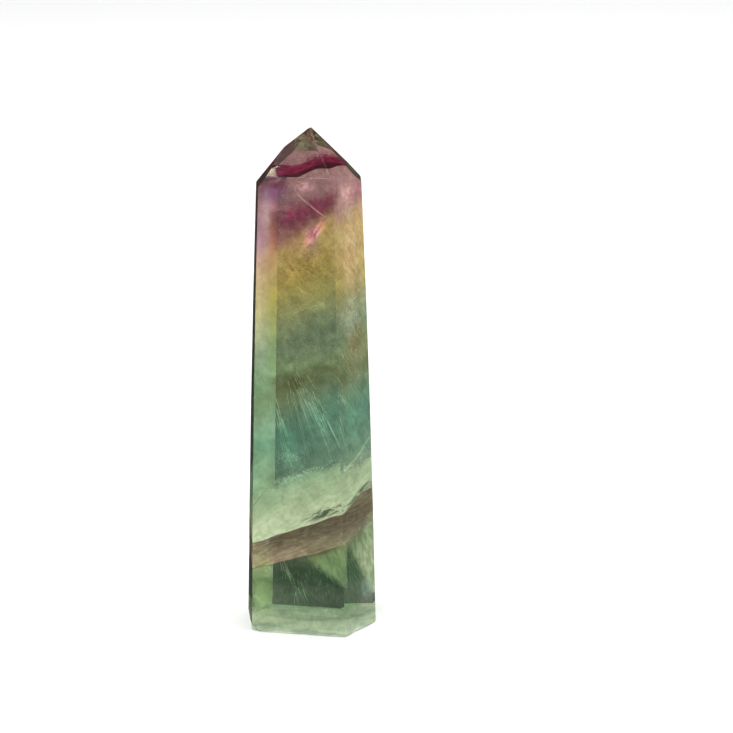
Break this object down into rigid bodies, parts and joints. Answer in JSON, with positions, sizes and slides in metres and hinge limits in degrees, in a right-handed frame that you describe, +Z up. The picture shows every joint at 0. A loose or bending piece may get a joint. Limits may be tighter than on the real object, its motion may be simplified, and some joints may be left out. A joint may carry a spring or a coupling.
{
  "type": "fluorite tower",
  "caption": "Polished tower of see-through banded fluorite: a faceted column that narrows upward to a faceted point and stands on a flat base, for display.",
  "frame": {"origin": "centre of the bounding box, on the flat base that the tower stands on", "axes": "+Z up from the base to the point, -Y towards the wide front side, +X to its right"},
  "size_m": [0.0258, 0.0246, 0.0999],
  "materials": {
    "fluorite": "polished, see-through, colour-zoned from purple through yellow to green"
  },
  "bodies": {
    "root": {"tower": "fluorite"}
  },
  "joints": []
}
